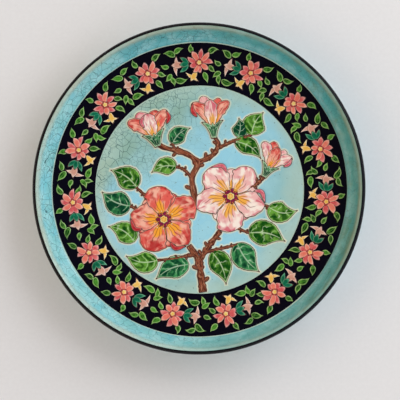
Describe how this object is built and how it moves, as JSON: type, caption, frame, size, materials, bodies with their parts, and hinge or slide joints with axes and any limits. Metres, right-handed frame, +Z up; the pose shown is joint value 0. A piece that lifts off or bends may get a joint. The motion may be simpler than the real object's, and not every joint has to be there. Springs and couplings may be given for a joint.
{
  "type": "decorative wall plate",
  "caption": "Round glazed earthenware wall plate with raised enamel flowers in the middle and around a dark band, on a foot ring pierced for hanging.",
  "frame": {"origin": "centre of the plate's round outline, at the flat underside of the foot ring", "axes": "+Z up out of the painted face, +Y towards the top of the picture, +X to the picture's right"},
  "size_m": [0.37, 0.37, 0.045],
  "materials": {
    "glazed_earthenware": "glossy crackled turquoise glaze with a near-black navy band and lip and thick coloured enamels"
  },
  "bodies": {
    "root": {"plate": "glazed_earthenware"}
  },
  "joints": []
}
